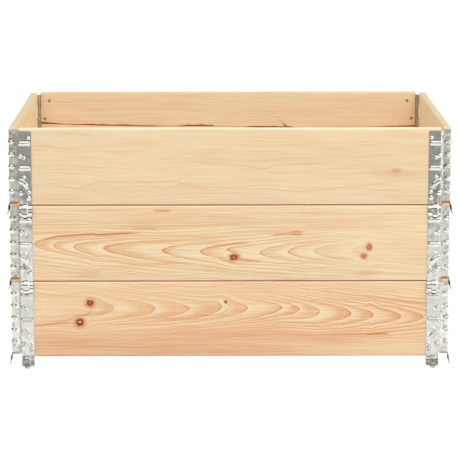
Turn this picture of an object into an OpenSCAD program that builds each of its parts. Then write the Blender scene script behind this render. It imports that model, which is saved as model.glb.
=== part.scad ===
// Stack of folding timber pallet collars with stamped steel corner hinges.
// +X runs along the long walls, +Y from the front wall to the back wall, +Z up.
// The origin is the middle of the footprint, level with the tips of the lowest tongues.
// Every wall is drawn in its own plan: x along the wall, hinge pins on y = 0 at x = +-half,
// inside face on y = -pin_in, outside face on y = -face, underside of the board on z = 0.

/* [Collar] */
// Length over the outside faces of the short boards
collar_len = 1200; // [800:10:1600]
// Width over the outside faces of the long boards
collar_wid = 800; // [400:10:1200]
// Height of one collar's board
board_h = 210.5; // [200:0.5:240]
// Thickness of the boards
board_t = 20; // [18:0.5:25]

/* [Stack] */
// Seam between the boards of two stacked collars
seam = 0.5; // [0.3:0.1:2]
// Collar whose back wall is two narrow boards, 0 for none
split_back = 3; // [0:1:3]
// Height of the upper one of those two narrow boards
split_h = 103; // [86:0.5:118]
// Open joint between those two narrow boards
split_gap = 1; // [0.5:0.1:3]

/* [Hinge leaves] */
// Thickness of the leaf's sheet steel
sheet = 1.5; // [1:0.1:2]
// Reach of the leaf's plate from the pin along the board
leaf_w = 37; // [35:0.5:46]
// Bare wood above the leaf
leaf_top = 8; // [5:0.5:12]
// Bare wood below the leaf's end flange
leaf_foot = 5; // [4:0.5:7]
// Knuckles in one barrel, shared by the two leaves
knuckles = 6; // [4:2:8]
// Gap between neighbouring knuckles
knuckle_gap = 0.5; // [0.4:0.1:1.5]

/* [Hinge pins] */
// Radius of the hinge pin
pin_r = 2.5; // [2:0.1:3]
// Radial running clearance between pin and knuckle
pin_clear = 0.05; // [0.02:0.01:0.1]
// Distance of the pins inside the inside faces of the walls
pin_in = 4.5; // [4.5:0.1:6]

/* [Stacking tongues] */
// Drop of the tongue's middle finger below the board
tongue_drop = 32; // [28:0.5:38]
// Drop of the tongue's outer fingers below the board
tongue_side = 27; // [22:0.5:27.5]
// Outward step that lets the tongue pass over the leaf below
tongue_step = 4; // [3:0.1:5]
// Outward flare of the tongue's tip
tongue_flare = 2.8; // [0:0.1:4]
// Width of the middle finger
finger_w = 15; // [8:0.5:18]

/* [Rivets] */
// Radius of the rivet's shank
rivet_r = 2.4; // [2:0.1:3]
// Radius of the rivet's domed head
rivet_head_r = 5; // [4.4:0.1:5.6]
// Height of the domed head
rivet_head_h = 2.1; // [1.4:0.1:2.5]

/* [Hidden] */
$fn = 48;
LEVELS = ["lower", "middle", "upper"];
pitch = board_h + seam;
face = board_t + pin_in;               // pin axis to the outside face of the board
half_x = collar_len / 2 - face;        // pins of the long walls
half_y = collar_wid / 2 - face;        // pins of the short walls
bore_r = pin_r + pin_clear;
barrel_r = bore_r + sheet;
end_gap = barrel_r + 0.35;             // pin axis to the end of the board
relief = barrel_r + 0.75;              // cut-back of a flange beside the other leaf's knuckles
leaf_h = board_h - leaf_top - leaf_foot;
knuckle_h = leaf_h / knuckles;
finger_mid = 17.5;                     // middle of the tongue's middle finger, from the pin
hole_r = rivet_r + 0.1;
sink_r = rivet_head_r - 0.2;           // recess for the closed end of the rivet
sink_h = 1.4;
shop_r = sink_r - 0.35;
shop_h = 1.0;
// Rivets of one leaf: [distance from the pin along the board, height on the board]
RIVETS = [
    [leaf_w - 6.5, board_h - 26.5],
    [16.5, board_h - 81],
    [16.5, board_h - 134],
    [leaf_w - 7, board_h - 175.5]
];
WALLS = ["front", "back", "left", "right"];
function ends(w) = w == "front" || w == "back" ? ["left", "right"] : ["front", "back"];
function two_boards(k, w) = w == "back" && split_back == k + 1;
NODES = [
    for (k = [0:2]) for (w = WALLS) for (n = concat(
        two_boards(k, w) ? ["top_board", "bottom_board"] : ["board"],
        [for (e = ends(w)) str("leaf_", e)],
        w == "front" || w == "back" ? ["hinge_pins"] : [],
        ["rivets"]
    )) str(LEVELS[k], "_", w, "_", n)
];
node = "all";

// ---- placing ----

// Sets a wall's own plan at its place in the stack
module at_wall(k, w) {
    lift = tongue_drop + k * pitch;
    if (w == "front") translate([0, -half_y, lift]) children();
    if (w == "back") translate([0, half_y, lift]) rotate(180) children();
    if (w == "left") translate([-half_x, 0, lift]) rotate(-90) children();
    if (w == "right") translate([half_x, 0, lift]) rotate(90) children();
}

function half_of(w) = w == "front" || w == "back" ? half_x : half_y;
// The end of the wall's own x axis on which a named end lies
function side_of(w, e) =
    w == "front" ? (e == "left" ? -1 : 1) :
    w == "back" ? (e == "left" ? 1 : -1) :
    w == "left" ? (e == "front" ? 1 : -1) :
    (e == "front" ? -1 : 1);

// Sets the leaf's plan, pin on the origin and board along +x, at one end of a wall
module at_end(half, side) {
    if (side < 0) translate([-half, 0, 0]) children();
    else translate([half, 0, 0]) mirror([1, 0, 0]) children();
}

// ---- boards ----

// Through hole and sunk recess for one rivet, in the leaf's plan
module rivet_hole(p) {
    translate([p[0], -pin_in, p[1]]) rotate([90, 0, 0]) {
        translate([0, 0, -1]) cylinder(r = hole_r, h = board_t + 2);
        translate([0, 0, -1]) cylinder(r = sink_r, h = sink_h + 1);
    }
}

// One board from height z0 to height z1, drilled for the rivets of both its leaves
module board(half, z0, z1) {
    color("burlywood")
    difference() {
        translate([-half + end_gap, -face, z0])
            cube([2 * (half - end_gap), board_t, z1 - z0]);
        for (side = [-1, 1]) at_end(half, side)
            for (p = RIVETS) if (p[1] > z0 && p[1] < z1) rivet_hole(p);
    }
}

// ---- hinges ----

// Plan of the leaf away from its own knuckles: plate, bend and cut-back end flange
module leaf_plan() {
    translate([barrel_r, -face - sheet]) square([leaf_w - barrel_r, sheet]);
    translate([barrel_r - sheet, -face]) square([sheet, face - relief]);
    intersection() {
        translate([barrel_r, -face]) circle(r = sheet);
        translate([barrel_r - 2 * sheet, -face - 2 * sheet]) square(2 * sheet);
    }
}

// Plan of one knuckle with the strip of flange that carries it
module knuckle_plan() {
    difference() {
        circle(r = barrel_r);
        circle(r = bore_r);
    }
    translate([barrel_r - sheet, -relief - 0.5]) square([sheet, relief]);
}

// Side view of the tongue: it steps outward over the leaf below and flares at the tip
module tongue_section(drop) {
    o = -face - tongue_step;
    polygon([
        [-face, leaf_foot + 3], [-face, 3.5], [o, -7], [o, -17], [o - tongue_flare, -drop],
        [o - tongue_flare - sheet, -drop], [o - sheet, -17], [o - sheet, -7],
        [-face - sheet, 3.5], [-face - sheet, leaf_foot + 3]
    ]);
}

// A tongue strip from x0 to x1 along the board
module tongue_strip(x0, x1, drop) {
    translate([x0, 0, 0]) rotate([90, 0, 90])
        linear_extrude(height = x1 - x0) tongue_section(drop);
}

// One hinge leaf. Leaves of the long walls own the even knuckles, counted from the foot.
module leaf(own) {
    color("silver")
    difference() {
        union() {
            translate([0, 0, leaf_foot]) linear_extrude(height = leaf_h) leaf_plan();
            for (i = [own:2:knuckles - 1])
                translate([0, 0, leaf_foot + i * knuckle_h + knuckle_gap / 2])
                    linear_extrude(height = knuckle_h - knuckle_gap) knuckle_plan();
            tongue_strip(3, leaf_w, tongue_side);
            tongue_strip(finger_mid - finger_w / 2, finger_mid + finger_w / 2, tongue_drop);
        }
        for (p = RIVETS) translate([p[0], -face + 1, p[1]]) rotate([90, 0, 0])
            cylinder(r = hole_r, h = sheet + 2);
    }
}

// One hinge pin with peened ends, standing on the leaf's origin
module pin() {
    color("darkgray")
    translate([0, 0, leaf_foot]) {
        translate([0, 0, -0.3]) cylinder(r = pin_r, h = leaf_h + 0.6);
        translate([0, 0, -1.5]) cylinder(r = pin_r + 0.9, h = 1.2);
        translate([0, 0, leaf_h + 0.3]) cylinder(r = pin_r + 0.9, h = 1.2);
    }
}

// ---- fasteners ----

// One rivet along -y: domed head on the leaf, shank through the board, closed end sunk inside
module rivet() {
    dome = (rivet_head_r * rivet_head_r + rivet_head_h * rivet_head_h) / (2 * rivet_head_h);
    color("lightgray")
    rotate([90, 0, 0]) {
        translate([0, 0, sink_h - shop_h]) cylinder(r = shop_r, h = shop_h);
        translate([0, 0, sink_h]) cylinder(r = rivet_r, h = board_t + sheet - sink_h);
        translate([0, 0, board_t + sheet]) intersection() {
            translate([0, 0, rivet_head_h - dome]) sphere(r = dome);
            cylinder(r = rivet_head_r, h = rivet_head_h + 1);
        }
    }
}

// All the rivets of one wall
module rivets(half) {
    for (side = [-1, 1]) at_end(half, side)
        for (p = RIVETS) translate([p[0], -pin_in, p[1]]) rivet();
}

// ---- the stack ----

function on(n) = node == "all" || node == n;

for (k = [0:2]) for (w = WALLS) let (id = str(LEVELS[k], "_", w, "_"), half = half_of(w)) {
    if (!two_boards(k, w) && on(str(id, "board")))
        at_wall(k, w) board(half, 0, board_h);
    if (two_boards(k, w) && on(str(id, "top_board")))
        at_wall(k, w) board(half, board_h - split_h, board_h);
    if (two_boards(k, w) && on(str(id, "bottom_board")))
        at_wall(k, w) board(half, 0, board_h - split_h - split_gap);
    for (e = ends(w)) if (on(str(id, "leaf_", e)))
        at_wall(k, w) at_end(half, side_of(w, e)) leaf(w == "front" || w == "back" ? 0 : 1);
    if ((w == "front" || w == "back") && on(str(id, "hinge_pins")))
        at_wall(k, w) for (side = [-1, 1]) at_end(half, side) pin();
    if (on(str(id, "rivets")))
        at_wall(k, w) rivets(half);
}
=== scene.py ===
"""Looks of the stacked timber pallet collars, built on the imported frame."""

import math

import bmesh
import bpy
import numpy as np
from mathutils import Matrix, Vector


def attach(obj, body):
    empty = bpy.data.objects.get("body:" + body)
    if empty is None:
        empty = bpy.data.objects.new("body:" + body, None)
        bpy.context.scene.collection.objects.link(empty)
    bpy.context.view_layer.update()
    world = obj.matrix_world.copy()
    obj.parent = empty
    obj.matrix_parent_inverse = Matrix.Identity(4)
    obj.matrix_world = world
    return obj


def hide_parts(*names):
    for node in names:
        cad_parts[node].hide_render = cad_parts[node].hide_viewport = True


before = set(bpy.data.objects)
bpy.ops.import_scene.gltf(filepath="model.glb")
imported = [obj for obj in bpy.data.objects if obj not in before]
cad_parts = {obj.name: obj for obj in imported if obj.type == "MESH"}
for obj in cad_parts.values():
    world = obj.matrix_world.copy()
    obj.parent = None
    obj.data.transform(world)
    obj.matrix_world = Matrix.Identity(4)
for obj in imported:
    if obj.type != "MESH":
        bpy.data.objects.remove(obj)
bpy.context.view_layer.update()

# ------------------------------------------------------------------ sizes, in mm
MM = 0.001
LEVELS = ("lower", "middle", "upper")
WALLS = ("front", "back", "left", "right")
ENDS = {"front": ("left", "right"), "back": ("left", "right"),
        "left": ("front", "back"), "right": ("front", "back")}
SIDE = {("front", "left"): -1, ("front", "right"): 1, ("back", "left"): 1, ("back", "right"): -1,
        ("left", "front"): 1, ("left", "back"): -1, ("right", "front"): -1, ("right", "back"): 1}
H, T, PITCH, DROP = 210.5, 20.0, 211.0, 32.0
HALF = {"front": 575.5, "back": 575.5, "left": 375.5, "right": 375.5}  # pins
END_GAP, PIN_IN = 4.4, 4.5
BORE, BARREL, SHEET, PIN_R = 2.55, 4.05, 1.5, 2.5
LEAF_W, FOOT, TOP = 37.0, 5.0, H - 8.0
KNUCKLE, KNUCKLE_GAP = (H - 13.0) / 6, 0.5
RIVETS = ((LEAF_W - 6.5, H - 26.5), (16.5, H - 81.0), (16.5, H - 134.0), (LEAF_W - 7.0, H - 175.5))
SPLIT_H, SPLIT_GAP = 103.0, 1.0


def wall_matrix(level, wall):
    """A wall's own plan: x along it, inside face on y = 0, outside face on y = -T, underside on z = 0."""
    x, y, turn = {"front": (0, -380, 0), "back": (0, 380, 180),
                  "left": (-580, 0, -90), "right": (580, 0, 90)}[wall]
    lift = DROP + LEVELS.index(level) * PITCH
    return Matrix.Translation((x * MM, y * MM, lift * MM)) @ Matrix.Rotation(math.radians(turn), 4, "Z")


def smooth(x, lo, hi):
    t = np.clip((np.asarray(x, float) - lo) / (hi - lo), 0, 1)
    return t * t * (3 - 2 * t)


def hump(t):
    return np.where(np.abs(t) < 1, np.cos(np.clip(t, -1, 1) * math.pi / 2) ** 2, 0.0)


def wander(rng, waves, reach):
    """A smooth random function of x, about -1 to 1."""
    parts = [(rng.uniform(0.5, 1.0), 2 * math.pi / rng.uniform(*waves), rng.uniform(0, 6.28)) for _ in range(4)]
    total = sum(p[0] for p in parts)
    return lambda x: reach * sum(a * math.sin(w * x + f) for a, w, f in parts) / total


# ------------------------------------------------------------------ shading nodes
class Val:
    """A node's output that takes part in sums."""

    def __init__(self, shade, socket):
        self.shade, self.socket = shade, socket

    def __add__(self, o):
        return self.shade.math("ADD", self, o)

    __radd__ = __add__

    def __mul__(self, o):
        return self.shade.math("MULTIPLY", self, o)

    __rmul__ = __mul__

    def __sub__(self, o):
        return self.shade.math("SUBTRACT", self, o)

    def __rsub__(self, o):
        return self.shade.math("SUBTRACT", o, self)

    def __truediv__(self, o):
        return self.shade.math("DIVIDE", self, o)


class Shade:
    """A material and short ways to add nodes to it. Lengths in the pattern are mm of the wall's own plan."""

    def __init__(self, name):
        self.mat = bpy.data.materials.new(name)
        self.mat.use_nodes = True
        self.tree = self.mat.node_tree
        self.tree.nodes.clear()
        out = self.tree.nodes.new("ShaderNodeOutputMaterial")
        self.bsdf = self.tree.nodes.new("ShaderNodeBsdfPrincipled")
        self.tree.links.new(self.bsdf.outputs[0], out.inputs["Surface"])

    def put(self, socket, value):
        if isinstance(value, Val):
            self.tree.links.new(value.socket, socket)
        else:
            socket.default_value = value

    def math(self, op, a, b=0.0, c=0.0, clamp=False):
        n = self.tree.nodes.new("ShaderNodeMath")
        n.operation, n.use_clamp = op, clamp
        for s, v in zip(n.inputs, (a, b, c)):
            self.put(s, v)
        return Val(self, n.outputs[0])

    def place(self):
        """x, y, z in mm."""
        t = self.tree.nodes.new("ShaderNodeTexCoord")
        s = self.tree.nodes.new("ShaderNodeSeparateXYZ")
        self.tree.links.new(t.outputs["Object"], s.inputs[0])
        return [Val(self, o) * 1000.0 for o in s.outputs]

    def vec(self, x, y, z):
        n = self.tree.nodes.new("ShaderNodeCombineXYZ")
        for s, v in zip(n.inputs, (x, y, z)):
            self.put(s, v)
        return Val(self, n.outputs[0])

    def noise(self, x, y, z, detail=2.0, rough=0.5, warp=0.0):
        n = self.tree.nodes.new("ShaderNodeTexNoise")
        self.put(n.inputs["Vector"], self.vec(x, y, z))
        n.inputs["Scale"].default_value = 1.0
        n.inputs["Detail"].default_value = detail
        n.inputs["Roughness"].default_value = rough
        n.inputs["Distortion"].default_value = warp
        return Val(self, n.outputs[0])

    def cells(self, x, y, z, feature="F1"):
        n = self.tree.nodes.new("ShaderNodeTexVoronoi")
        n.feature = feature
        self.put(n.inputs["Vector"], self.vec(x, y, z))
        n.inputs["Scale"].default_value = 1.0
        return Val(self, n.outputs["Distance"]), Val(self, n.outputs["Color"])

    def chance(self, w):
        n = self.tree.nodes.new("ShaderNodeTexWhiteNoise")
        n.noise_dimensions = "1D"
        self.put(n.inputs["W"], w)
        return Val(self, n.outputs["Value"])

    def step(self, v, lo, hi, a=0.0, b=1.0):
        n = self.tree.nodes.new("ShaderNodeMapRange")
        n.interpolation_type = "SMOOTHSTEP"
        for s, x in zip(n.inputs, (v, lo, hi, a, b)):
            self.put(s, x)
        return Val(self, n.outputs[0])

    def mix(self, f, a, b, how="MIX"):
        n = self.tree.nodes.new("ShaderNodeMix")
        n.data_type, n.blend_type, n.clamp_factor = "RGBA", how, True
        self.put(n.inputs[0], f)
        for s, c in ((n.inputs[6], a), (n.inputs[7], b)):
            self.put(s, c if isinstance(c, Val) else (*c, 1.0))
        return Val(self, n.outputs[2])

    def curve(self, v, lo, hi, points):
        """A piecewise straight function of v through points, which lie between lo and hi."""
        ys = [p[1] for p in points]
        y0, y1 = min(ys), max(ys)
        n = self.tree.nodes.new("ShaderNodeFloatCurve")
        c = n.mapping.curves[0]
        ps = [((p[0] - lo) / (hi - lo), (p[1] - y0) / (y1 - y0)) for p in points]
        while len(c.points) < len(ps):
            c.points.new(0.5, 0.5)
        for point, place in zip(c.points, ps):
            point.location = place
            point.handle_type = "VECTOR"
        n.mapping.update()
        self.put(n.inputs["Value"], (v - lo) * (1.0 / (hi - lo)))
        return Val(self, n.outputs[0]) * (y1 - y0) + y0

    def bump(self, height, strength, distance):
        n = self.tree.nodes.new("ShaderNodeBump")
        n.inputs["Strength"].default_value = strength
        n.inputs["Distance"].default_value = distance
        self.put(n.inputs["Height"], height)
        self.put(self.bsdf.inputs["Normal"], Val(self, n.outputs[0]))


def lin(r, g, b):
    """A colour given as 8-bit display values."""
    def f(c):
        c /= 255.0
        return c / 12.92 if c <= 0.04045 else ((c + 0.055) / 1.055) ** 2.4
    return (f(r), f(g), f(b))


# ------------------------------------------------------------------ pine
def pine(name, seed, half_len, axis, way=1, bow=7.0, pith=-2.0, apexes=(), gap=80.0, far=140.0, sway=(5.0, 1.7), wave=330.0,
         knots=(), lines=(), bulges=(), light=(245, 220, 180), tint=(234, 186, 136), edge=(200, 138, 88), weight=1.0, calm=0.3,
         streaks=1.0, hairs=1.0, warm=(), fair=(), fade=(), seam_top=0.0, arris=0.0, crown=((212, 182, 140), 0.6),
         foot=((206, 116, 58), 0.7, 0.0), wane=None):
    """Planed pine, as a solid pattern. The growth rings are bowls about an axis along the board.

    axis: points (x, z) of the rings' axis; pith: its depth; way: which way the arches on the face point; bow: how blunt
    they are; apexes: where the arches' points lie along the board; gap and far: their spacing past the given ones;
    sway, wave: wandering of the grain and its length; knots: (x, z, half length, half height, darkness, redness, pale
    heart); lines: (points, half width, darkness) of single darker streaks; bulges: (x, z, reach x, reach z, height) by
    which the grain is pushed; weight, calm: contrast of the rings, and how much fainter they are far from the axis;
    streaks: weight of the long pinkish streaks; warm, fair: (x, z, reach x, reach z, weight) of redder and of paler
    patches; fade: points (x, weight) of the rings' contrast along the board; seam_top: weight of painted shade on the
    top outer edge, where the board above sits; arris: weight of a painted highlight on the upper arris; crown: colour
    and weight of the top edge, painted lighter or darker for how the light falls on it; foot: colour of the end grain
    low down, painted light and shade, its weight and that of a dark rim of painted shade; hairs: weight of the fine
    lines; wane: points of a bark edge, and points of its height, whose dark red is partly bark and partly painted
    shade of the gap under it."""
    sh = Shade(name)
    x, y, z = sh.place()
    a, b = seed * 17.31, seed * 5.77
    slow = sh.noise(x * (1 / wave) + a, y * (1 / 70) + b, z * (1 / 75), 2.0, 0.45)
    fast = sh.noise(x * (1 / 85) + b, y * (1 / 24) + a, z * (1 / 20), 2.0, 0.5)
    up = z + (slow - 0.5) * (4 * sway[0]) + (fast - 0.5) * (4 * sway[1])
    for bx, bz, ex, ez, push in bulges:
        away = sh.math("POWER", (x - bx) * (1 / ex), 2.0) + sh.math("POWER", (z - bz) * (1 / ez), 2.0)
        up = up - sh.math("EXPONENT", away * -1.0) * push
    for k in knots:
        kx, kz, rx, rz = k[:4]
        away = sh.math("POWER", (x - kx) * (1 / (3.4 * rx)), 2.0) + sh.math("POWER", (z - kz) * (1 / (2.6 * rz)), 2.0)
        up = up - (z - kz) * sh.math("EXPONENT", away * -1.0) * 0.85
    dz = up - sh.curve(x, -800.0, 800.0, axis)
    s = x * float(way) + (dz * dz + (y - pith) * (y - pith) - (T + pith) ** 2) * (1 / bow)
    if apexes:
        marks = sorted(way * p for p in apexes)
        pts = [(m, float(i)) for i, m in enumerate(marks)]
        pts.insert(0, (-1000.0, -(marks[0] + 1000.0) / gap))
        pts.append((4000.0, len(marks) - 1 + (4000.0 - marks[-1]) / far))
        t = sh.curve(s, -1000.0, 4000.0, pts)
    else:
        t = s * (1 / gap)
    t = t + (sh.noise(x * (1 / 260) + a, dz * (1 / 30), b, 1.0) - 0.5) * 0.24 + 64.0
    f = sh.math("FRACT", t)
    n = sh.math("FLOOR", t)
    lot, lot2 = sh.chance(n + seed), sh.chance(n * 1.37 + seed * 3.1)
    near = 1.0 - sh.step(sh.math("ABSOLUTE", dz), 30.0, 95.0) * calm
    if fade:
        near = near * sh.curve(x, -800.0, 800.0, fade)
    cut = 1.0 - sh.step(f, 0.965, 0.995)
    soft = sh.step(f, lot2 * 0.42 + 0.1, lot2 * 0.42 + 0.5) * cut * (lot * 0.4 + 0.6) * near * weight
    hard = sh.step(f, 0.84, 0.95) * cut * (lot2 * 0.45 + 0.55) * near * weight
    glow = (1.0 - sh.step(f, 0.04, 0.3)) * near * weight
    hair = sh.noise(x * (1 / 190) + a, y * 0.3 + b, up * 0.23, 3.0, 0.62)
    streak = sh.noise(x * (1 / 330) + b, y * (1 / 30) + a, up * 0.11, 5.0, 0.68)
    pore = sh.noise(x * (1 / 26) + b, y * 1.7, z * 1.6, 2.0, 0.6)
    patch = sh.noise(x * (1 / 240) + b, y * (1 / 50), z * (1 / 45) + a, 2.0, 0.5)
    col = sh.mix(soft * 0.9, lin(*light), lin(*tint))
    col = sh.mix(hard * 0.8, col, lin(*edge))
    col = sh.mix(glow * 0.45, col, lin(252, 233, 198))
    col = sh.mix(sh.step(streak, 0.47, 0.68) * 0.5 * streaks, col, lin(234, 178, 136))
    col = sh.mix(sh.step(hair, 0.51, 0.6) * (0.42 * hairs), col, lin(224, 166, 114))
    col = sh.mix((1.0 - sh.step(hair, 0.38, 0.48)) * (0.42 * hairs), col, lin(252, 232, 196))
    col = sh.mix(sh.step(patch, 0.5, 0.75) * 0.25, col, lin(238, 188, 146))
    col = sh.mix(sh.step(pore, 0.6, 0.8) * 0.12, col, lin(200, 146, 98))
    for wx, wz, ex, ez, much in warm:
        away = sh.math("POWER", (x - wx) * (1 / ex), 2.0) + sh.math("POWER", (z - wz) * (1 / ez), 2.0)
        col = sh.mix(sh.math("EXPONENT", away * -1.0) * much * (hair * 0.8 + 0.5), col, lin(222, 150, 102))
    for wx, wz, ex, ez, much in fair:
        away = sh.math("POWER", (x - wx) * (1 / ex), 2.0) + sh.math("POWER", (z - wz) * (1 / ez), 2.0)
        col = sh.mix(sh.math("EXPONENT", away * -1.0) * much, col, lin(247, 219, 175))
    for pts, wide, much in lines:
        lo, hi = pts[0][0], pts[-1][0]
        away = sh.math("ABSOLUTE", z + (fast - 0.5) * 1.6 - sh.curve(x, lo - 1, hi + 1, pts)) * (1 / wide)
        span = 0.2 * (hi - lo)
        run = sh.step(x, lo, lo + span) * (1.0 - sh.step(x, hi - span, hi))
        col = sh.mix((1.0 - sh.step(away, 0.3, 2.6)) * run * much * 0.4, col, lin(226, 150, 92))
        col = sh.mix((1.0 - sh.step(away, 0.1, 1.0)) * run * much, col, lin(184, 94, 34))
    for kx, kz, rx, rz, dark, red, pale in knots:
        e = sh.math("SQRT", sh.math("POWER", (x - kx) * (1 / rx), 2.0) + sh.math("POWER", (z - kz) * (1 / rz), 2.0))
        frill = sh.noise(x * 0.13 + a, y * 0.05, z * 0.15 + b, 3.0, 0.6)
        e = e + (frill - 0.5) * 1.5
        rim = (int(116 + 68 * red), int(42 + 44 * red), int(14 + 38 * red))
        col = sh.mix((1.0 - sh.step(e, 0.8, 2.2)) * 0.75 * dark, col, lin(220, 130, 82))
        ring = sh.mix(sh.step(e, 0.5, 1.0) * 0.5, lin(*rim), lin(192, 96, 58))
        ring = sh.mix((1.0 - sh.step(e, 0.12, 0.42)) * pale, ring, lin(232, 196, 158))
        col = sh.mix((1.0 - sh.step(e, 0.8, 1.15)) * dark, col, ring)
    # the bark edge: its dark red is partly bark and partly painted shade of the gap under it
    if wane:
        pts, tall = wane
        rag = sh.noise(x * 0.03 + a, z * 0.02, b, 3.0, 0.6)
        low = z - sh.curve(x, -800.0, 800.0, pts) - sh.curve(x, -800.0, 800.0, tall) * (rag * 1.5 + 0.2)
        col = sh.mix((1.0 - sh.step(low, -0.8, 3.0)) * 0.5, col, lin(214, 128, 78))
        col = sh.mix((1.0 - sh.step(low, -0.8, 0.8)) * 0.9, col, lin(150, 66, 30))
    # a dark red band along the board's foot: painted shade of the seam there
    col = sh.mix((1.0 - sh.step(z, 0.6, 3.0)) * 0.9, col, lin(172, 68, 22))
    # a painted highlight on the upper arris
    if arris:
        col = sh.mix(sh.step(z, H - 6.6, H - 4.0) * arris, col, lin(255, 240, 212))
    # the top edge's own colour: painted light and shade for how the light falls on it
    col = sh.mix(sh.step(z, H - 2.4, H - 0.8) * crown[1], col, lin(*crown[0]))
    # painted shade along the top outer edge, where the board above sits on it
    if seam_top:
        col = sh.mix(sh.step(z, H - 1.5, H - 0.6) * (1.0 - sh.step(y, 4.0 - T, 6.0 - T)) * seam_top, col, lin(176, 78, 30))
    end = sh.step(sh.math("ABSOLUTE", x), half_len - 1.5, half_len - 0.2)
    saw = sh.noise(x, y * 0.25 + a, z * 0.9 + b, 3.0, 0.65)
    cross = sh.mix(hard * 0.7, lin(230, 172, 122), lin(202, 130, 84))
    cross = sh.mix(sh.step(saw, 0.4, 0.75) * 0.5, cross, lin(214, 146, 98))
    # a painted highlight on the end grain's upper part, where the eased top catches the light
    cross = sh.mix(sh.step(z, H - 16.0, H - 6.0) * 0.9, cross, lin(246, 224, 188))
    # painted light and shade on the end grain low down, and a dark rim of painted shade at the foot
    cross = sh.mix((1.0 - sh.step(z, 1.0, 9.0)) * foot[1], cross, lin(*foot[0]))
    cross = sh.mix((1.0 - sh.step(z, 1.2, 2.6)) * foot[2], cross, lin(92, 66, 44))
    col = sh.mix(end, col, cross)
    sh.put(sh.bsdf.inputs["Base Color"], col)
    sh.put(sh.bsdf.inputs["Roughness"], sh.step(hair, 0.3, 0.75, 0.52, 0.68) - hard * 0.05)
    sh.bsdf.inputs["Specular IOR Level"].default_value = 0.28
    sh.bump(hard * 0.4 + hair * 0.8 + pore * 0.3, 0.2, 0.0006)
    return sh.mat


# ------------------------------------------------------------------ metal
def zinc(name, seed, bright=(240, 240, 234), dull=(222, 222, 214), rough=(0.15, 0.27), dirt=0.35, speck=0.25, low_dark=0.0,
         low_tones=((186, 184, 174), (136, 132, 120)), bands=()):
    """Galvanised sheet: crystals of slightly different sheen, a little grey bloom, specks and dirt.

    scuff, worn: weight and tones of a darkening low down, below about z = 5 mm; bands: heights at which pressing has
    polished the sheet."""
    sh = Shade(name)
    x, y, z = sh.place()
    a = seed * 9.7
    bend = sh.noise(x * 0.05 + a, y * 0.05, z * 0.05, 2.0)
    _, tone = sh.cells(x * 0.11 + a + bend * 0.6, y * 0.11, z * 0.11 + bend * 0.6)
    split = sh.tree.nodes.new("ShaderNodeSeparateColor")
    sh.put(split.inputs[0], tone)
    grain = Val(sh, split.outputs[0])
    cloud = sh.noise(x * 0.028 + a, y * 0.028, z * 0.02, 3.0, 0.55)
    fine = sh.noise(x * 0.5 + a, y * 0.5, z * 0.35, 3.0, 0.6)
    spot = sh.noise(x * 0.16, y * 0.16 + a, z * 0.13, 4.0, 0.65)
    col = sh.mix(grain * 0.75 + cloud * 0.25, lin(*dull), lin(*bright))
    col = sh.mix(sh.step(cloud, 0.5, 0.75) * 0.4, col, lin(222, 218, 204))
    col = sh.mix(sh.step(spot, 0.62, 0.78) * dirt, col, lin(170, 164, 150))
    mote = sh.noise(x * 0.13, y * 0.13, z * 0.12 + a, 2.0, 0.6)
    col = sh.mix(sh.step(mote, 0.53, 0.64) * speck, col, lin(150, 146, 132))
    col = sh.mix((1.0 - sh.step(mote, 0.36, 0.46)) * speck, col, lin(255, 255, 252))
    # darker low down, below about z = 5 mm
    if low_dark:
        low = (1.0 - sh.step(z, -4.0, 5.0)) * low_dark
        col = sh.mix(low * 0.6, col, lin(*low_tones[0]))
        col = sh.mix(low * sh.step(spot, 0.44, 0.6), col, lin(*low_tones[1]))
    sh.put(sh.bsdf.inputs["Base Color"], col)
    sh.bsdf.inputs["Metallic"].default_value = 1.0
    r = grain * (rough[1] - rough[0]) + rough[0] + (fine - 0.5) * 0.12 + sh.step(spot, 0.6, 0.8) * 0.15
    for h in bands:
        r = r * (sh.step(sh.math("ABSOLUTE", z - h), 4.0, 8.0) * 0.6 + 0.4)
    sh.put(sh.bsdf.inputs["Roughness"], r)
    sh.bump(grain * 0.4 + fine * 0.5 + cloud * 0.5, 0.3, 0.0005)
    return sh.mat


def rivet_end():
    """The closed end of a rivet in the wood: brownish metal, partly stain and partly painted shade and painted
    reflection of the wood in its recess.
    """
    sh = Shade("rivet_end")
    x, y, z = sh.place()
    n = sh.noise(x * 0.7, y * 0.7, z * 0.7, 3.0, 0.6)
    sh.put(sh.bsdf.inputs["Base Color"], sh.mix(n, lin(186, 150, 104), lin(152, 116, 74)))
    sh.bsdf.inputs["Metallic"].default_value = 0.15
    sh.put(sh.bsdf.inputs["Roughness"], sh.step(n, 0.3, 0.7, 0.45, 0.65))
    sh.bump(n, 0.2, 0.0004)
    return sh.mat


# ------------------------------------------------------------------ meshes
def piece(name, level, wall, verts, faces, mats, nodes, face_mats=None, sharp=38.0):
    """A mesh in a wall's own plan, in mm, that rides on the wall and stands for CAD nodes."""
    me = bpy.data.meshes.new(name)
    me.from_pydata((np.asarray(verts, float) * MM).tolist(), [], [list(map(int, f)) for f in faces])
    for m in mats:
        me.materials.append(m)
    if face_mats is not None:
        me.polygons.foreach_set("material_index", list(map(int, face_mats)))
    ob = bpy.data.objects.new(name, me)
    bpy.context.scene.collection.objects.link(ob)
    tidy(me, sharp)
    ob.matrix_world = wall_matrix(level, wall)
    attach(ob, f"{level}_{wall}_wall")
    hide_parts(*nodes)
    return ob


def tidy(me, sharp):
    """Outward normals, smooth faces, and sharp edges past an angle."""
    bm = bmesh.new()
    bm.from_mesh(me)
    bmesh.ops.recalc_face_normals(bm, faces=bm.faces)
    limit = math.radians(sharp)
    for f in bm.faces:
        f.smooth = True
    for e in bm.edges:
        e.smooth = len(e.link_faces) == 2 and e.calc_face_angle(0.0) < limit
    bm.to_mesh(me)
    bm.free()


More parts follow.
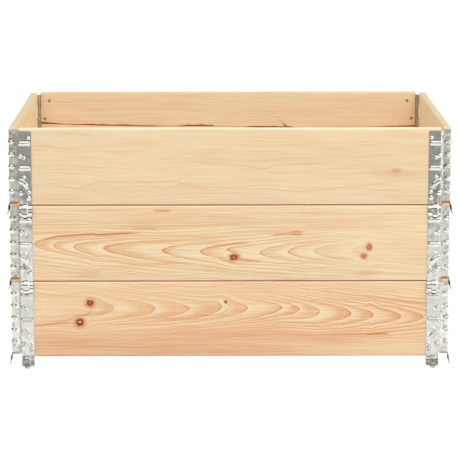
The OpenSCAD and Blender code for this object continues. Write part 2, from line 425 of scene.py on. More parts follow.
def lathe(profile, count):
    """Rings of (radius, height) about +z, closed on the axis at both ends."""
    verts, faces = [(0, 0, profile[0][1])], []
    inner = profile[1:-1]
    for r, h in inner:
        for i in range(count):
            t = 2 * math.pi * i / count
            verts.append((r * math.cos(t), r * math.sin(t), h))
    verts.append((0, 0, profile[-1][1]))
    ring = lambda k, i: 1 + k * count + i % count
    for i in range(count):
        faces.append((0, ring(0, i + 1), ring(0, i)))
        faces.append((len(verts) - 1, ring(len(inner) - 1, i), ring(len(inner) - 1, i + 1)))
        for k in range(len(inner) - 1):
            faces.append((ring(k, i), ring(k, i + 1), ring(k + 1, i + 1), ring(k + 1, i)))
    return np.array(verts, float), faces


def gather(parts):
    """Several (verts, faces) as one."""
    verts, faces, n = [], [], 0
    for v, f in parts:
        verts.append(v)
        faces += [tuple(i + n for i in q) for q in f]
        n += len(v)
    return np.concatenate(verts), faces


# ------------------------------------------------------------------ boards
def board_shape(half_len, low, high, rng, foot=2.4, head=4.6):
    """A planed board with eased arrises. low and high give its lower and upper edge along x."""
    ease = [(foot, wander(rng, (70, 260), 0.5)), (foot, wander(rng, (70, 260), 0.5)),
            (head, wander(rng, (70, 260), 0.7)), (head, wander(rng, (70, 260), 0.7))]
    bow = wander(rng, (500, 1400), 0.25)
    b = 1.1
    tips = [(half_len - b + b * math.sin(t), b * (1 - math.cos(t))) for t in np.radians([0, 30, 60, 90])]
    span = np.linspace(-half_len + b, half_len - b, 57)
    stations = [(-p, i) for p, i in reversed(tips[1:])] + [(p, 0.0) for p in span] + tips[1:]
    rings = []
    for x, inset in stations:
        y0, y1 = -T + inset, -inset
        z0, z1 = low(x) + inset, high(x) - inset
        corners = [(y0, z0, 1, 1, 180), (y1, z0, -1, 1, 270), (y1, z1, -1, -1, 0), (y0, z1, 1, -1, 90)]
        ring = []
        for c, (cy, cz, sy, sz, start) in enumerate(corners):
            r = max(0.5, ease[c][0] + ease[c][1](x) - inset * 0.6)
            my, mz = cy + sy * r, cz + sz * r
            for t in np.radians(np.linspace(start, start + 90, 6)):
                ring.append((x, my + r * math.cos(t), mz + r * math.sin(t)))
            if c in (1, 3):  # points up the tall faces
                nxt = corners[(c + 1) % 4]
                r2 = max(0.5, ease[(c + 1) % 4][0] + ease[(c + 1) % 4][1](x) - inset * 0.6)
                z_a, z_b = ring[-1][2], nxt[1] + nxt[3] * r2
                for t in np.linspace(0, 1, 6)[1:-1]:
                    ring.append((x, cy + bow(x) * 0.3 * math.sin(t * math.pi) * (1 if c == 3 else -1) * 0.6,
                                 z_a + (z_b - z_a) * t))
        rings.append(ring)
    n = len(rings[0])
    verts = [p for ring in rings for p in ring]
    faces = []
    for k in range(len(rings) - 1):
        for i in range(n):
            j = (i + 1) % n
            faces.append((k * n + i, k * n + j, (k + 1) * n + j, (k + 1) * n + i))
    faces.append(tuple(range(n)))
    faces.append(tuple((len(rings) - 1) * n + i for i in reversed(range(n))))
    return verts, faces


def drill(ob, half, zs):
    """Cuts the stepped rivet holes of both leaves."""
    parts = []
    for side in (-1, 1):
        for u, z in RIVETS:
            if zs[0] < z < zs[1]:
                v, f = lathe([(0, -1.0), (4.8, -1.0), (4.8, 1.4), (2.5, 1.4), (2.5, T + 1.0), (0, T + 1.0)], 28)
                x = side * (half - u)
                parts.append((np.stack([v[:, 0] + x, -v[:, 2], v[:, 1] + z], 1), f))
    v, f = gather(parts)
    me = bpy.data.meshes.new("drill")
    me.from_pydata((v * MM).tolist(), [], [list(map(int, q)) for q in f])
    tidy(me, 40)
    tool = bpy.data.objects.new("drill", me)
    tool.matrix_world = ob.matrix_world.copy()
    bpy.context.scene.collection.objects.link(tool)
    cut = ob.modifiers.new("holes", "BOOLEAN")
    cut.object, cut.operation, cut.solver = tool, "DIFFERENCE", "EXACT"
    bpy.context.view_layer.update()
    made = bpy.data.meshes.new_from_object(ob.evaluated_get(bpy.context.evaluated_depsgraph_get()))
    ob.modifiers.remove(cut)
    old, ob.data = ob.data, made
    made.name = ob.name
    bpy.data.objects.remove(tool)
    bpy.data.meshes.remove(me)
    bpy.data.meshes.remove(old)
    tidy(made, 38)


def along(px):
    """Along the front wall, in mm, from the place across the picture."""
    return (px - 229.7) / 0.3664


# the seam between the two narrow boards of the top collar's back wall, along the wall's own x
SEAM = ((-700.0, -2.5), (-565.0, -2.6), (-520.0, -3.0), (-470.0, -4.0), (-349.0, -5.0), (-250.0, -6.0), (-165.0, -6.0),
        (-100.0, -5.0), (-60.0, -4.0), (0.0, -2.0), (55.0, -0.9), (140.0, -1.2), (238.0, -1.4), (330.0, 0.4), (400.0, 1.6),
        (470.0, 4.0), (560.0, 7.0), (700.0, 7.5))
SEAM_Z = H - SPLIT_H - SPLIT_GAP / 2
# how far the bark edge and the painted shade of the gap under it reach up the narrow board
BARK_AND_SHADE = ((-790.0, 2.0), (-575.0, 4.0), (-500.0, 3.0), (-470.0, 1.5), (-440.0, 0.3), (-370.0, 0.2), (-340.0, 1.0), (-200.0, 1.6),
        (-190.0, 4.0), (-165.0, 5.0), (-100.0, 4.0), (-70.0, 3.6), (-50.0, 1.0), (-40.0, 0.2), (40.0, 0.2), (50.0, 4.0),
        (120.0, 5.0), (140.0, 2.6), (160.0, 1.0), (200.0, 1.0), (230.0, 2.6), (270.0, 3.6), (400.0, 4.0), (430.0, 4.4),
        (460.0, 2.0), (500.0, 1.4), (530.0, 4.6), (575.0, 5.6), (790.0, 5.0))


def seam(x):
    return SEAM_Z + float(np.interp(x, [p[0] for p in SEAM], [p[1] for p in SEAM]))


FRONT = {
    "upper": dict(
        axis=((-790, -230), (-400, -236), (0, -226), (400, -240), (790, -230)), way=1, bow=8.0, gap=470.0, sway=(9.0, 2.4), wave=170.0,
        light=(243, 222, 182), tint=(238, 204, 160), edge=(218, 164, 114), weight=0.55, calm=0.0, hairs=0.48, arris=0.35,
        crown=((238, 218, 192), 0.85),
        knots=((along(394.5), 94.0, 12.0, 5.0, 0.26, 1.0, 0.9),), streaks=0.6,
        lines=((((along(30), 64), (along(46.8), 62.5), (along(57), 53.5), (along(77.4), 45.5), (along(87.6), 53.5),
                 (along(97.8), 64), (along(113), 65), (along(133.5), 60.5), (along(155), 65.5), (along(174), 65.5),
                 (along(187), 57), (along(202), 45), (along(215), 41), (along(240), 43)), 1.9, 0.2),
               (((along(225), 43), (along(255), 43), (along(265), 46.5), (along(281), 39.5), (along(303), 36), (along(320), 41),
                 (along(332), 45), (along(345), 51.5), (along(370), 54.5), (along(383), 62), (along(400), 66),
                 (along(418), 74)), 1.9, 0.17),
               (((along(178), 133), (along(191), 120), (along(213), 114), (along(234), 111), (along(243), 109), (along(256), 101),
                 (along(263), 99), (along(272), 107.5), (along(287), 111), (along(322), 114), (along(340), 105)), 1.9, 0.2)),
        warm=((along(395), 88.0, 60.0, 14.0, 0.3), (along(120), 40.0, 200.0, 14.0, 0.12), (along(300), 128.0, 260.0, 16.0, 0.12)),
        fair=((along(130), 110.0, 220.0, 40.0, 0.3), (along(330), 60.0, 200.0, 30.0, 0.25)),
    ),
    "middle": dict(
        axis=((-790, 106), (-531, 101), (-351, 90.6), (-190, 81.8), (-84, 78.5), (77, 77.5), (320, 78), (790, 80)), way=-1,
        bow=6.6, gap=420.0, far=150.0, light=(246, 225, 185), tint=(235, 186, 134), edge=(204, 134, 76), weight=1.0, calm=0.35, hairs=0.7,
        apexes=[along(p) for p in (35, 52.5, 72, 101.6, 160, 199, 225, 258, 287, 313.5, 346.7)],
        knots=((along(233.3), 66.0, 11.0, 8.8, 0.92, 0.4, 0.4), (along(368.6), 93.5, 7.0, 8.6, 0.8, 1.0, 0.65),
               (along(363.5), 69.0, 7.0, 6.6, 0.76, 1.0, 0.5)),
        fade=((-790, 0.85), (along(60), 0.9), (along(110), 1.0), (along(240), 1.0), (along(330), 0.75), (along(358), 0.22),
              (790, 0.2)), seam_top=0.7, arris=0.5,
        fair=((along(395), 84.0, 110.0, 40.0, 0.45),),
        bulges=((along(94.5), 62.0, 13.0, 46.0, -4.5), (along(91), 134.0, 15.0, 16.0, 4.0)),
        lines=((((along(32), 108.0), (along(56), 124.0), (along(92.7), 131.5), (along(97), 129.0), (along(126), 132.9),
                 (along(146), 133.2)), 3.0, 0.85),
               (((along(268), 126.5), (along(284), 131.0), (along(294), 130.0), (along(303), 128.0)), 2.6, 0.55),
               (((along(288), 135.0), (along(296), 138.0), (along(303), 135.0)), 2.0, 0.5),
               (((along(152), 195.0), (along(163), 195.6), (along(172), 195.0)), 3.2, 0.35),
               (((along(199), 87.0), (along(213), 96.0), (along(236), 104.5), (along(252), 108.5)), 2.2, 0.6),
               (((along(232), 61.0), (along(246), 55.5), (along(262), 52.0)), 2.0, 0.5),
               (((along(130), 144.5), (along(145), 145.5), (along(160), 145.0)), 1.8, 0.4)),
        warm=((along(366), 22.0, 26.0, 14.0, 0.4), (along(89), 18.0, 40.0, 10.0, 0.4), (along(190), 165.0, 160.0, 14.0, 0.2),
              (along(296), 132.0, 17.0, 5.0, 0.7), (along(163), 195.0, 16.0, 3.2, 0.5), (along(140), 150.0, 60.0, 7.0, 0.35),
              (along(145), 164.0, 40.0, 5.0, 0.35), (along(60), 168.0, 50.0, 5.0, 0.3)),
    ),
    "lower": dict(
        axis=((-790, 139), (-534, 137), (-305, 135), (-201, 131.5), (145, 131.5), (241, 121), (334, 117.5), (473, 112.4),
              (790, 108)), way=1, bow=9.2, gap=420.0, far=110.0,
        light=(246, 216, 173), tint=(233, 175, 120), edge=(206, 122, 62), weight=1.12, calm=0.25, hairs=0.8,
        apexes=[along(p) for p in (118.8, 156.4, 189, 222.7, 249, 283.6, 299.5, 318.6, 352.4, 374, 402.8, 424.5, 446)],
        knots=((along(225.3), 153.0, 3.4, 4.2, 0.85, 0.4, 0.0), (along(89.0), 150.0, 10.0, 9.6, 0.95, 0.35, 0.25),
               (along(78.4), 95.6, 11.5, 11.0, 0.97, 0.0, 0.95)),
        bulges=((along(220), 166.0, 30.0, 30.0, 11.0), (along(372), 148.0, 14.0, 22.0, 5.0), (along(372), 80.0, 12.0, 18.0, -4.0)),
        fade=((-790, 0.4), (along(80), 0.5), (along(108), 0.72), (along(128), 1.0), (790, 1.0)), seam_top=0.7, arris=0.5,
        fair=((along(400), 18.0, 180.0, 26.0, 0.6), (along(400), 192.0, 130.0, 18.0, 0.5), (along(120), 168.0, 420.0, 34.0, 0.45),
              (along(130), 132.0, 60.0, 16.0, 0.3)),
        lines=((((along(364), 61.0), (along(376), 61.8), (along(384), 62.0), (along(391), 61.6)), 2.0, 0.85),
               (((along(322), 59.0), (along(350), 60.0), (along(376), 61.0), (along(392), 61.0)), 3.2, 0.18),
               (((along(26), 84.0), (along(52), 91.0), (along(76), 95.0)), 2.2, 0.7),
               (((along(79), 113.0), (along(84), 116.0), (along(89), 122.0), (along(92), 134.0)), 2.0, 0.6),
               (((along(196), 112.0), (along(212), 116.0), (along(222), 121.0), (along(226), 127.0), (along(229), 138.0)), 1.8, 0.45),
               (((along(225), 153.0), (along(228), 145.0), (along(231), 135.0)), 1.8, 0.5)),
        warm=((along(110), 30.0, 420.0, 40.0, 0.5), (along(230), 66.0, 200.0, 8.0, 0.3), (along(320), 54.0, 190.0, 9.0, 0.5), (along(345), 40.0, 70.0, 6.0, 0.5),
              (along(240), 10.0, 110.0, 7.0, 0.5)),
    ),
}


def build_boards():
    count = 0
    for level in LEVELS:
        for wall in WALLS:
            rng = np.random.default_rng(100 + count)
            half = HALF[wall]
            half_len = half - END_GAP
            if (level, wall) == ("upper", "back"):
                sets = [("top_board", lambda x: seam(x) + 0.3, lambda x: H, (SEAM_Z, H)),
                        ("bottom_board", lambda x: 0.0, lambda x: seam(x) - 0.3, (0, SEAM_Z))]
            else:
                sets = [("board", lambda x: 0.0, lambda x: H, (0, H))]
            for part, low, high, zs in sets:
                count += 1
                node = f"{level}_{wall}_{part}"
                if wall == "front":
                    look = dict(FRONT[level])
                else:
                    flat = rng.random() < 0.6
                    way = int(rng.choice((-1, 1)))
                    at = float(rng.uniform(60, 150)) if flat else float(rng.choice((-130.0, 340.0)) + rng.uniform(-30, 30))
                    lean = float(rng.uniform(-18, 18))
                    marks, p = [], -half_len
                    while p < half_len:
                        p += float(rng.uniform(45, 120))
                        marks.append(p)
                    look = dict(axis=((-790, at - lean), (-250, at + rng.uniform(-6, 6)), (260, at + rng.uniform(-6, 6)),
                                      (790, at + lean)), way=way, bow=float(rng.uniform(6, 8.5)), apexes=marks if flat else (),
                                gap=90.0 if flat else float(rng.uniform(380, 520)), far=float(rng.uniform(110, 150)),
                                light=(243, 218, 180), tint=(236, 192, 148), edge=(206, 148, 100),
                                weight=float(rng.uniform(0.55, 1.0)), calm=0.4 if flat else 0.0, streaks=0.7,
                                knots=[(float(rng.uniform(-0.8, 0.8) * half_len), float(rng.uniform(25, 180)),
                                        float(rng.uniform(6, 12)), float(rng.uniform(5.5, 10)), float(rng.uniform(0.4, 0.95)),
                                        float(rng.uniform(0, 1)), float(rng.uniform(0, 0.8)))
                                       for _ in range(int(rng.integers(1, 4)))])
                    if level == "upper":
                        # fainter grain, and a darker top edge as painted shade
                        look.update(weight=0.28, streaks=0.3, hairs=0.45, knots=(), crown=((202, 184, 146), 0.85),
                                    light=(238, 217, 180), tint=(230, 193, 150))
                    elif level == "lower":
                        # the lower collar's end grain: painted paler low down, with a dark rim of painted shade at the
                        # foot
                        look.update(foot=((240, 226, 210), 0.95, 0.85))
                    if part == "top_board":
                        look.update(axis=((-790, 395), (0, 385), (790, 400)), apexes=(), gap=470.0, calm=0.0, weight=0.2,
                                    lines=((((-186.0, 100.0), (-180.0, 105.0), (-172.0, 109.0), (-164.0, 111.0)), 3.4, 0.9),
                                           (((-184.0, 102.0), (-172.0, 112.0), (-162.0, 120.0), (-148.0, 128.0)), 1.8, 0.5),
                                           (((-172.0, 122.0), (-150.0, 134.0), (-125.0, 141.0), (-100.0, 143.0)), 1.6, 0.22),
                                           (((-166.0, 136.0), (-140.0, 150.0), (-115.0, 154.0), (-96.0, 155.0)), 1.6, 0.18)),
                                    wane=([(p[0], p[1] + SEAM_Z) for p in SEAM], BARK_AND_SHADE))
                mat = pine("pine_" + node, count, half_len, **look)
                verts, faces = board_shape(half_len, low, high, rng, 0.7 if part == "top_board" else 2.4,
                                           0.7 if part == "bottom_board" else 4.6)
                ob = piece("vis_" + node, level, wall, verts, faces, [mat], [node])
                drill(ob, half, zs)


# ------------------------------------------------------------------ hinge leaves
RIBS = (40.5, 75.0, 108.5, 142.5, 176.5)  # below the board's top


def leaf_rows():
    fine = [(-32.0, 44.0), (H - 166.0, H - 133.0), (H - 117.0, H - 100.0), (H - 83.0, H - 67.0), (H - 49.0, H - 32.0)]
    must = {-32.0, -27.0, FOOT, TOP, TOP - 4.0}
    for i in range(7):
        for d in (-0.25, 0.25):
            if FOOT < FOOT + i * KNUCKLE + d < TOP:
                must.add(FOOT + i * KNUCKLE + d)
    for lo, hi in fine:
        must |= {lo, hi}
    marks = sorted(must)
    rows = [marks[0]]
    for lo, hi in zip(marks, marks[1:]):
        mid = (lo + hi) / 2
        step = 1.6 if any(a <= mid <= b for a, b in fine) else 6.0
        n = max(1, math.ceil((hi - lo) / step))
        rows += [lo + (hi - lo) * (i + 1) / n for i in range(n)]
    return np.array(rows)


def leaf_shape(own, rng):
    """One pressed hinge leaf in its own plan: pin on the origin, board along +x. Leaves of long walls own knuckle 0."""
    plate = [37.0, 36.4, 35.4, 33.9, 32.3, 30.7, 29.1, 27.5, 26.3, 25.2, 24.2, 23.2, 21.8, 20.4, 19.0, 17.6, 16.2, 14.8,
             13.4, 12.2, 11.1, 10.0, 8.9, 7.6, 6.4, 5.25]
    face = T + PIN_IN + SHEET / 2
    mid_bend = -face + 1.95
    cols = [(u, -face, 0.0, -1.0, "p", u - 5.25) for u in plate]
    for t in np.radians([-108, -126, -144, -162, -180]):
        cols.append((5.25 + 1.95 * math.cos(t), mid_bend + 1.95 * math.sin(t), math.cos(t), math.sin(t), "b", 0.0))
    for v in (-21.8, -20.3, -18.8, -17.2, -15.6, -13.8, -12.0, -10.2, -8.4, -6.6, -4.45, -2.4, 0.0):
        cols.append((3.3, v, -1.0, 0.0, "f", v - mid_bend))
    for t in np.radians(np.arange(20, 301, 20)):
        cols.append((3.3 * math.cos(t), 3.3 * math.sin(t), -math.cos(t), -math.sin(t), "c", 99.0))
    rows = leaf_rows()
    kind = np.array([c[4] for c in cols])
    U, V, NU, NV, D = (np.array([c[i] for c in cols])[None, :] + 0 * rows[:, None] for i in (0, 1, 2, 3, 5))
    Z = rows[:, None] + 0 * U
    on_plate, on_bend, on_flange = (np.repeat((kind == k)[None, :], len(rows), 0) for k in "pbf")
    # below the flange the sheet runs on flat past the bend
    below = rows < FOOT - 0.01
    for k, u in ((0, 4.1), (1, 3.0)):
        j = len(plate) + k
        U[below, j], V[below, j], NU[below, j], NV[below, j] = u, -face, 0.0, -1.0
        on_plate[below, j], on_bend[below, j] = True, False

    # pressed ribs, and the gussets across the bend
    out = np.zeros_like(Z)
    for i, under in enumerate(RIBS):
        dz = Z - (H - under)
        if i in (0, 2):
            p = 2.5 * (1 - smooth(U, 30.5, 35.5)) * hump(dz / 7.4)
        elif i == 3:
            p = 0.0 * U
        else:
            p = 2.4 * (1 - smooth(U, 8.0, 15.5)) * hump(dz / (7.2 - 2.6 * smooth(U, 7.0, 15.5)))
        f = (2.2 * hump((D - 5.0) / 8.5) + 0.8 * (1 - smooth(D, 0.0, 5.0))) * hump(dz / (6.8 - 2.0 * smooth(D, 5.0, 12.0)))
        out += np.where(on_plate, p, np.where(on_bend, 1.2 * hump(dz / 7.2), np.where(on_flange, f, 0.0)))
    cz = H - 166.5
    turn = np.degrees(np.arctan2(Z - cz, U - 1.0))
    crest = np.maximum(np.abs(np.hypot(U - 1.0, Z - cz) - 23.6) - 2.0, 0.0)
    arc = 2.4 * hump(crest / 5.2) * smooth(turn, -4, 42)
    out += np.where(on_plate, arc, 0.0)

    # stacking tongue: steps out over the leaf below and ends in a flared lip
    mid = smooth(U, 8.8, 11.4) * (1 - smooth(U, 23.4, 26.0))
    start = -1.0 + 3.6 * hump((U - 17.5) / 15.0)
    tip = 27.0 + 5.0 * mid
    step = 4.0 * smooth(start - Z, 0.0, start + 10.5)
    step += 3.0 * np.clip((7.5 - tip - Z) / 7.5, 0, 1) ** 1.25
    # its middle finger is a raised ridge that runs up the plate and fades out
    ridge = smooth(U, 7.4, 12.6) * (1 - smooth(U, 23.6, 26.2))
    step += 1.5 * ridge * (1 - smooth(Z, 6.0, 66.0)) + 0.5 * mid * (1 - smooth(Z, -2.0, 3.0))
    # a pressed swelling under the lowest rivet
    step += 3.2 * hump(np.hypot((U - 29.0) / 6.4, (Z - 21.0) / 8.0)) * (1 - 0.5 * ridge)
    out += np.where(on_plate, step, 0.0)
    # slight unevenness of the sheet
    f1, f2, f3 = rng.uniform(0, 6.28, 3)
    out += np.where(kind[None, :] == "c", 0.0, 0.10 * np.sin(U * 0.17 + Z * 0.06 + f1) * np.sin(Z * 0.085 + f2)
                    + 0.05 * np.sin(Z * 0.23 + V * 0.3 + f3))

    # arched foot of the end flange
    bow = np.where(on_flange, np.clip(1 - ((V + 14.5) / 9.0) ** 2, 0, 1) * 2.2, 0.0)
    Z = Z + bow * np.clip(1 - (Z - FOOT) / 24.0, 0, 1)
    # rounded corners of the plate and of the tongue
    for cu, cz, su, sz, r in ((37.0, TOP, 1, 1, 3.0), (37.0, -27.0, 1, -1, 4.0), (3.0, -27.0, -1, -1, 3.0),
                              (25.2, -32.0, 1, -1, 4.5), (10.0, -32.0, -1, -1, 4.5)):
        pu, pz = (U - (cu - su * r)) * su, (Z - (cz - sz * r)) * sz
        near = (pu > 0) & (pz > 0) & (pu <= r + 0.01) & (pz <= r + 0.01) & on_plate
        if cz == -32.0:
            near &= Z < -27.5
        big = np.maximum(pu, pz)
        scale = np.where(near & (big > 0), big / np.maximum(np.hypot(pu, pz), 1e-9), 1.0)
        U = np.where(near, (cu - su * r) + su * pu * scale, U)
        Z = np.where(near, (cz - sz * r) + sz * pz * scale, Z)

    # which cells of the sheet exist
    zm = (rows[:-1] + rows[1:]) / 2
    keep = np.zeros((len(rows) - 1, len(cols) - 1), bool)
    knuckle = np.zeros(len(zm), bool)
    for i in range(own, 6, 2):
        knuckle |= (zm > FOOT + i * KNUCKLE + 0.24) & (zm < FOOT + (i + 1) * KNUCKLE - 0.24)
    for j in range(len(cols) - 1):
        a, b = cols[j], cols[j + 1]
        if a[4] == "p" and b[4] == "p":
            keep[:, j] = zm > (-32.0 if 10.0 <= b[0] and a[0] <= 25.2 else -27.0)
        elif j < len(plate) + 1:
            keep[:, j] = zm > -27.0
        elif b[4] == "b" or (b[4] == "f" and b[1] <= -4.44):
            keep[:, j] = zm > FOOT
        else:
            keep[:, j] = knuckle
    # two faces of the sheet and its edges
    half = SHEET / 2
    index, verts, faces, rim = {}, [], [], []

    def at(i, j, s):
        key = (i, j, s)
        if key not in index:
            index[key] = len(verts)
            d = out[i, j] + s * half
            verts.append((U[i, j] + NU[i, j] * d, V[i, j] + NV[i, j] * d, Z[i, j]))
        return index[key]

    rows_n, cols_n = keep.shape
    for i in range(rows_n):
        for j in range(cols_n):
            if not keep[i, j]:
                continue
            for s in (1, -1):
                q = [at(i, j, s), at(i, j + 1, s), at(i + 1, j + 1, s), at(i + 1, j, s)]
                faces.append(q if s > 0 else q[::-1])
                inside = s < 0 and (cols[j][4] != "c" or V[i, j] + V[i, j + 1] > 2.3)
                groove = cols[j][4] == "c" or (cols[j][4] == "f" and cols[j][1] > -5.5)
                rim.append(2 if inside else 3 if groove else 0)
            for di, dj, p, q in ((-1, 0, (i, j), (i, j + 1)), (1, 0, (i + 1, j + 1), (i + 1, j)),
                                 (0, -1, (i + 1, j), (i, j)), (0, 1, (i, j + 1), (i + 1, j + 1))):
                a, b = i + di, j + dj
                if not (0 <= a < rows_n and 0 <= b < cols_n and keep[a, b]):
                    faces.append([at(*q, 1), at(*p, 1), at(*p, -1), at(*q, -1)])
                    rim.append(1)
    return np.array(verts), faces, rim


def on_end(verts, half, side):
    """From the leaf's plan to the wall's plan."""
    v = np.array(verts, float)
    v[:, 0] = side * (half - v[:, 0])
    v[:, 1] += PIN_IN
    return v


def build_hinges():
    n = 0
    pin_mat = zinc("pin_zinc", 50, (200, 200, 194), (180, 180, 172), (0.3, 0.45))
    rivet_mat = zinc("rivet_zinc", 60, (238, 238, 232), (224, 224, 218), (0.2, 0.3), 0.2)
    end_mat = rivet_end()
    # the sheet's cut edges: dark brown, painted shade
    cut_mat = zinc("cut_edge", 70, (112, 100, 88), (80, 70, 60), (0.45, 0.6), 0.6)
    # the leaves' inner faces, towards the wood: a darker copy as painted shade of the gap between leaf and board,
    # darker still low down
    shaded_inside_mat = zinc("shaded_inside", 80, (198, 188, 160), (166, 156, 130), (0.5, 0.65), 0.5, low_dark=1.6,
                    low_tones=((96, 82, 70), (74, 62, 52)))
    # painted shade along the pin, darker at the left-hand corners; the upper collar has none there
    groove_shade = {"left": zinc("groove_shade_left", 90, (220, 215, 206), (200, 194, 185), (0.3, 0.45), 0.4, 0.2),
             "right": zinc("groove_shade_right", 91, (236, 233, 225), (216, 212, 204), (0.3, 0.45), 0.3, 0.2)}
    for level in LEVELS:
        for wall in WALLS:
            own = 0 if wall in ("front", "back") else 1
            half = HALF[wall]
            n += 1
            if own:
                mat = zinc(f"zinc_{level}_{wall}", n, (254, 254, 249), (228, 228, 220), (0.26, 0.4) if level == "lower" else (0.28, 0.44),
                           0.2, 0.55, bands=[H - under for under in RIBS])
            elif level == "lower":
                # a darker copy of the zinc for the lower collar: painted shade
                mat = zinc(f"zinc_{level}_{wall}", n, (231, 233, 228), (214, 216, 210), (0.13, 0.24), 0.25, 0.14, low_dark=1.0)
            else:
                mat = zinc(f"zinc_{level}_{wall}", n, (242, 243, 238), (226, 227, 220), (0.08, 0.17), 0.25, 0.14)
            for e in ENDS[wall]:
                rng = np.random.default_rng(500 + 7 * n + SIDE[wall, e])
                verts, faces, rim = leaf_shape(own, rng)
                node = f"{level}_{wall}_leaf_{e}"
                piece("vis_" + node, level, wall, on_end(verts, half, SIDE[wall, e]), faces,
                      [mat, cut_mat, shaded_inside_mat] + ([] if level == "upper" else [groove_shade["left" if "left" in (wall, e) else "right"]]),
                      [node], [0 if level == "upper" and k == 3 else k for k in rim])
            # rivets: dome on the leaf, shank, closed end in the wood
            dome = (5.0 ** 2 + 2.1 ** 2) / (2 * 2.1)
            prof = [(0, 0.62), (2.0, 0.55), (3.4, 0.42), (4.1, 0.5), (4.45, 0.85), (4.45, 1.4), (2.4, 1.42),
                    (2.4, T + SHEET - 0.05), (4.7, T + SHEET - 0.05), (5.0, T + SHEET + 0.12)]
            for k in range(1, 7):
                h = 2.1 * math.sin(k / 7 * math.pi / 2)
                c = dome - 2.1 + h
                prof.append((math.sqrt(max(0.0, dome ** 2 - c ** 2)), T + SHEET + h))
            prof.append((0, T + SHEET + 2.1))
            parts = []
            for side in (-1, 1):
                for u, z in RIVETS:
                    v, f = lathe(prof, 24)
                    parts.append((np.stack([v[:, 0] + side * (half - u), -v[:, 2], v[:, 1] + z], 1), f))
            v, f = gather(parts)
            depth = [-np.mean([v[i, 1] for i in q]) for q in f]
            node = f"{level}_{wall}_rivets"
            piece("vis_" + node, level, wall, v, f, [rivet_mat, end_mat], [node],
                  [1 if d < 1.45 else 0 for d in depth], 50)
            if wall in ("front", "back"):
                lo, hi = FOOT - 1.5, TOP + 1.5
                prof = [(0, lo - 0.2), (1.8, lo - 0.12), (2.9, lo + 0.2), (3.4, lo + 0.7), (3.4, lo + 1.2), (PIN_R, lo + 1.22),
                        (PIN_R, hi - 1.22), (3.4, hi - 1.2), (3.4, hi - 0.7), (2.9, hi - 0.2), (1.8, hi + 0.12), (0, hi + 0.2)]
                parts = []
                for side in (-1, 1):
                    v, f = lathe(prof, 20)
                    v[:, 0] += side * half
                    v[:, 1] += PIN_IN
                    parts.append((v, f))
                v, f = gather(parts)
                node = f"{level}_{wall}_hinge_pins"
                piece("vis_" + node, level, wall, v, f, [pin_mat], [node], None, 50)


# ------------------------------------------------------------------ studio
def plain(name, color, strength, diffuse=0.0):
    """A stage material: a diffuse card that also gives light of its own."""
    m = bpy.data.materials.new(name)
    m.use_nodes = True
    b = m.node_tree.nodes["Principled BSDF"]
    b.inputs["Base Color"].default_value = (diffuse, diffuse, diffuse, 1)
    b.inputs["Roughness"].default_value = 1.0
    b.inputs["Specular IOR Level"].default_value = 0.0
    b.inputs["Emission Color"].default_value = (*color, 1)
    b.inputs["Emission Strength"].default_value = strength
    return m


def card(name, verts, faces, mat, glossy_only=False):
    me = bpy.data.meshes.new(name)
    me.from_pydata(verts, [], faces)
    me.materials.append(mat)
    ob = bpy.data.objects.new(name, me)
    bpy.context.scene.collection.objects.link(ob)
    if glossy_only:
        ob.visible_camera = ob.visible_diffuse = ob.visible_shadow = ob.visible_transmission = False
        ob.visible_volume_scatter = False
    return ob


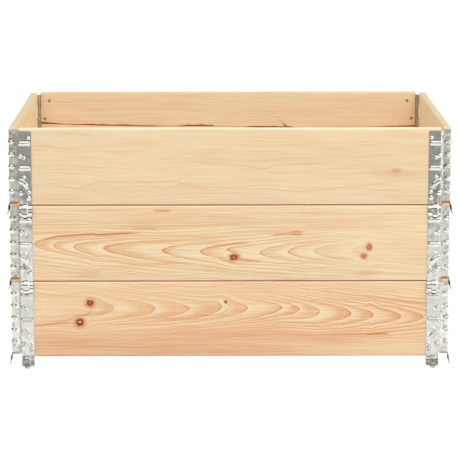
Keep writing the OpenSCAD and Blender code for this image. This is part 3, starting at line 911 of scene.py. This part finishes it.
def build_studio():
    scene = bpy.context.scene
    scene.view_settings.view_transform = "Standard"
    world = bpy.data.worlds.new("studio")
    scene.world = world
    world.use_nodes = True
    t = world.node_tree
    bg = t.nodes["Background"]
    co, sep = t.nodes.new("ShaderNodeTexCoord"), t.nodes.new("ShaderNodeSeparateXYZ")
    t.links.new(co.outputs["Generated"], sep.inputs[0])
    ramp = t.nodes.new("ShaderNodeMapRange")
    for s, v in zip(ramp.inputs[1:5], (0.0, 0.9, 0.5, 1.35)):
        s.default_value = v
    t.links.new(sep.outputs["Z"], ramp.inputs[0])
    t.links.new(ramp.outputs[0], bg.inputs["Strength"])
    bg.inputs["Color"].default_value = (1.0, 0.985, 0.96, 1)

    r = 60.0
    floor = card("floor", [(-r, -r, 0), (r, -r, 0), (r, r, 0), (-r, r, 0)], [(0, 1, 2, 3)],
                 plain("floor_paper", (1.0, 1.0, 0.995), 0.97, 0.08))
    floor.visible_diffuse = False
    # what the floor gives back to the matt parts
    bounce = card("floor_bounce", [(-r, -r, -.002), (r, -r, -.002), (r, r, -.002), (-r, r, -.002)], [(0, 1, 2, 3)],
                  plain("floor_light", (1.0, 0.985, 0.96), 0.75, 0.08))
    bounce.visible_camera = bounce.visible_glossy = False
    # a greyer floor, darker surroundings, a bright side and a bright ceiling, which only the polished parts mirror
    dark = plain("dark_cloth", (0.36, 0.36, 0.35), 1.0)
    black = plain("black_cloth", (0.11, 0.11, 0.105), 1.0)
    ix, iy, o = 2.7, 2.5, 30.0
    card("grey_floor", [(-ix, -iy, .002), (ix, -iy, .002), (ix, iy, .002), (-ix, iy, .002)], [(0, 1, 2, 3)],
         plain("grey_paper", (0.88, 0.88, 0.86), 1.0), True)
    card("close_floor", [(-1.86, -1.66, .0025), (1.86, -1.66, .0025), (1.86, 1.66, .0025), (-1.86, 1.66, .0025)], [(0, 1, 2, 3)],
         plain("close_paper", (0.95, 0.95, 0.93), 1.0), True)
    verts = [(-ix, -iy, .004), (ix, -iy, .004), (ix, iy, .004), (-ix, iy, .004),
             (-o, -o, .004), (o, -o, .004), (o, o, .004), (-o, o, .004)]
    card("dark_floor", verts, [(0, 1, 5, 4), (1, 2, 6, 5), (2, 3, 7, 6), (3, 0, 4, 7)], dark, True)
    ring = [(9 * math.cos(2 * math.pi * i / 48), 9 * math.sin(2 * math.pi * i / 48)) for i in range(48)]
    verts = [(x, y, 0.005) for x, y in ring] + [(x, y, 3.4) for x, y in ring]
    card("dark_wall", verts, [(i, (i + 1) % 48, 48 + (i + 1) % 48, 48 + i) for i in range(48)], black, True)
    lit = plain("lit_cloth", (1.0, 0.99, 0.97), 1.6)
    card("bright_side", [(3.6, -7.0, .01), (3.6, 1.4, .01), (3.6, 1.4, 2.6), (3.6, -7.0, 2.6)], [(0, 1, 2, 3)], lit, True)
    verts = [(x * k, y * k, h) for k, h in ((0.22, 7.0), (0.92, 4.6)) for x, y in ring]
    card("bright_ceiling", verts, [(i, (i + 1) % 48, 48 + (i + 1) % 48, 48 + i) for i in range(48)],
         plain("ceiling_cloth", (1.0, 0.995, 0.98), 1.15), True)
    # the floor close to the walls: a soft shade at their foot, then brighter paper
    for name, near, wide, mat in (("near_shade", 0.0, 0.12, plain("shade", (0.70, 0.70, 0.68), 1.0)),
                                  ("near_paper", 0.12, 0.42, plain("paper", (1.0, 0.995, 0.98), 1.1))):
        x0, y0, x1, y1 = 0.61 + near, 0.41 + near, 0.61 + wide, 0.41 + wide
        verts = [(-x0, -y0, .003), (x0, -y0, .003), (x0, y0, .003), (-x0, y0, .003),
                 (-x1, -y1, .003), (x1, -y1, .003), (x1, y1, .003), (-x1, y1, .003)]
        card(name, verts, [(0, 1, 5, 4), (1, 2, 6, 5), (2, 3, 7, 6), (3, 0, 4, 7)], mat, True)

    def softbox(name, place, aim, size, power, tint):
        d = bpy.data.lights.new(name, "AREA")
        d.shape, d.size, d.energy, d.color = "DISK", size, power, tint
        ob = bpy.data.objects.new(name, d)
        ob.location = place
        ob.rotation_euler = (Vector(aim) - Vector(place)).to_track_quat("-Z", "Y").to_euler()
        scene.collection.objects.link(ob)

    softbox("key", (2.4, -2.4, 5.0), (0, 0, 0.3), 2.6, 80.0, (1.0, 0.98, 0.95))

    cam = bpy.data.cameras.new("camera")
    cam.lens, cam.sensor_width = 174.95, 36.0
    cam.clip_end = 200.0
    ob = bpy.data.objects.new("camera", cam)
    ob.location = (-0.0449, -6.3839, 1.5159)
    ob.rotation_euler = (math.radians(90 - 10.703), 0, math.radians(-0.425))
    scene.collection.objects.link(ob)
    scene.camera = ob


build_studio()
build_boards()
build_hinges()
